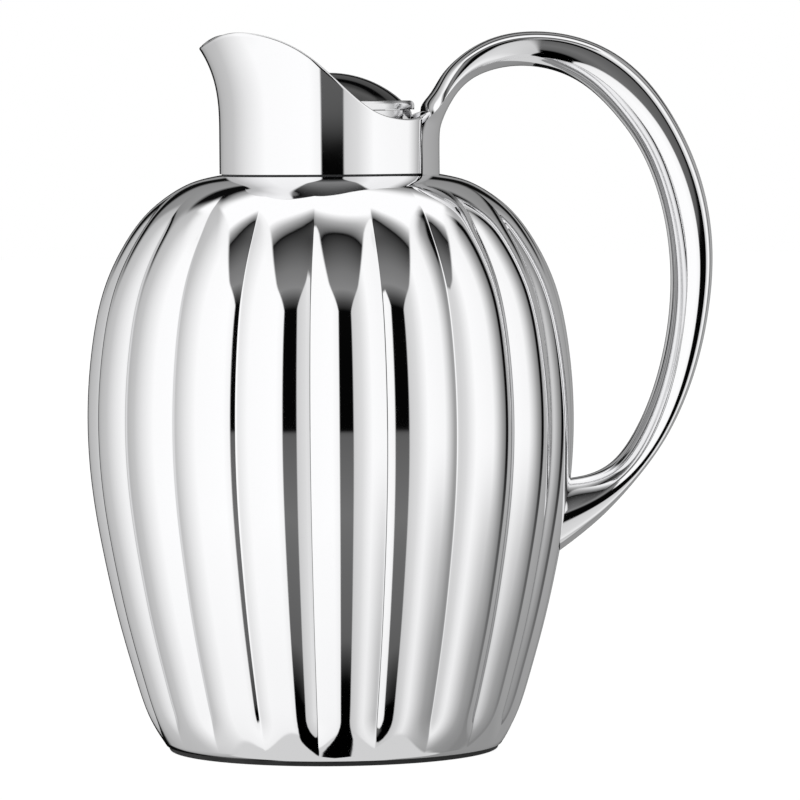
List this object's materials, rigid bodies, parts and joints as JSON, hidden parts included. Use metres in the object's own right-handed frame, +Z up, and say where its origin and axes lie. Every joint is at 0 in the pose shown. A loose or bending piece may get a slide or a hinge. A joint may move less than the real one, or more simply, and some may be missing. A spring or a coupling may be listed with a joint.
{
  "type": "insulated serving jug",
  "caption": "Polished steel insulated serving jug with a fluted egg-shaped body, lipped collar, loop handle and a domed lid that tips open to pour.",
  "frame": {"origin": "on the axis of the body, at the underside of the foot ring", "axes": "+Z up, the pouring lip points to -X, the handle to +X, the hinge of the lid runs along Y"},
  "size_m": [0.2099, 0.1628, 0.2393],
  "materials": {
    "polished_steel": "mirror polished stainless steel",
    "lid_steel": "polished stainless steel",
    "fixing_steel": "plain machined stainless steel",
    "black_rubber": "matte moulded rubber",
    "silicone": "soft matte silicone",
    "silvered_glass": "silvered glass",
    "black_plastic": "satin moulded plastic",
    "gloss_black": "high gloss moulded plastic"
  },
  "bodies": {
    "jug": {"body_shell": "polished_steel", "collar": "polished_steel", "handle_outer_shell": "polished_steel", "handle_inner_shell": "polished_steel", "handle_stud": "fixing_steel", "handle_nut": "fixing_steel", "handle_backing_plate": "fixing_steel", "foot_ring": "black_rubber", "base_cap": "black_plastic", "base_ring": "fixing_steel", "base_screws": "fixing_steel", "liner_cushion": "silicone", "liner_outer_wall": "silvered_glass", "liner_inner_wall": "silvered_glass", "neck_gasket": "silicone", "neck_insert": "black_plastic"},
    "gasket": {"stopper_gasket": "silicone"},
    "slip_ring": {"stopper_slip_ring": "black_plastic"},
    "lid": {"stopper_body": "black_plastic", "stopper_seal": "silicone", "lid_ring": "lid_steel", "hinge_pin": "fixing_steel"},
    "flap": {"flap_ring": "lid_steel", "flap_dome": "gloss_black", "flap_seal": "silicone"}
  },
  "joints": [
    {"name": "lid_lift_out", "type": "slide", "parent": "jug", "child": "gasket", "axis": [0, 0, 1], "range_m": [0, 0.075]},
    {"name": "lid_thread_rise", "type": "slide", "parent": "gasket", "child": "slip_ring", "axis": [0, 0, 1], "range_m": [0, 0.0061]},
    {"name": "lid_unscrew", "type": "hinge", "parent": "slip_ring", "child": "lid", "pos_m": [0, 0, 0.206], "axis": [0, 0, 1], "range_deg": [0, 540]},
    {"name": "flap_tip", "type": "hinge", "parent": "lid", "child": "flap", "pos_m": [0.0255, 0, 0.2122], "axis": [0, 1, 0], "range_deg": [0, 65]}
  ],
  "couplings": [
    {"joint": "lid_thread_rise", "follows": "lid_unscrew", "m_per_rad": 0.00063662}
  ]
}
